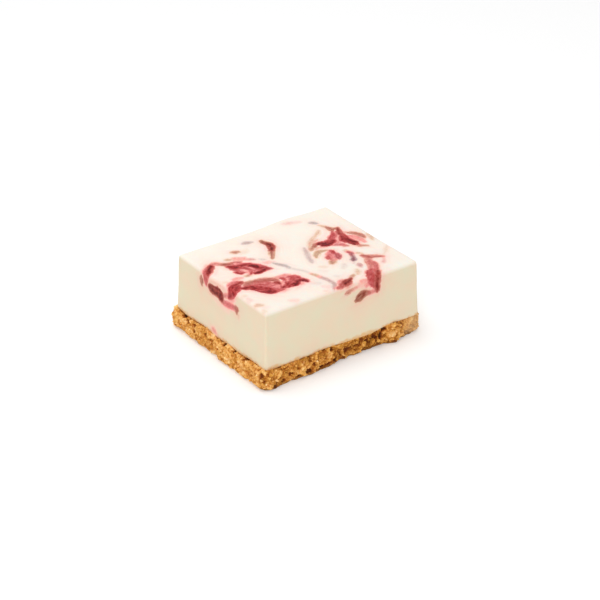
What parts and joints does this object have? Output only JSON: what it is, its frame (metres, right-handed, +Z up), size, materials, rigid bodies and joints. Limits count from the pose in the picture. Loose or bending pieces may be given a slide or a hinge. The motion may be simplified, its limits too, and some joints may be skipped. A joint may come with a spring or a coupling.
{
  "type": "strawberry cheesecake bar",
  "caption": "Rectangular cut bar of set cheesecake with a marbled top and leaning knife-cut sides, on a slightly wider pressed crumb base.",
  "frame": {"origin": "middle of the footprint's bounding box, on the surface that the bar stands on", "axes": "+X along the bar's long side, +Y along its short side away from the viewer, +Z up through the layers"},
  "size_m": [0.0774, 0.064, 0.0316],
  "materials": {
    "crumb": "rough baked biscuit crumb",
    "filling": "smooth satin set cream cheese with red fruit marbling"
  },
  "bodies": {
    "root": {"crumb_base": "crumb", "cheesecake_filling": "filling"}
  },
  "joints": []
}
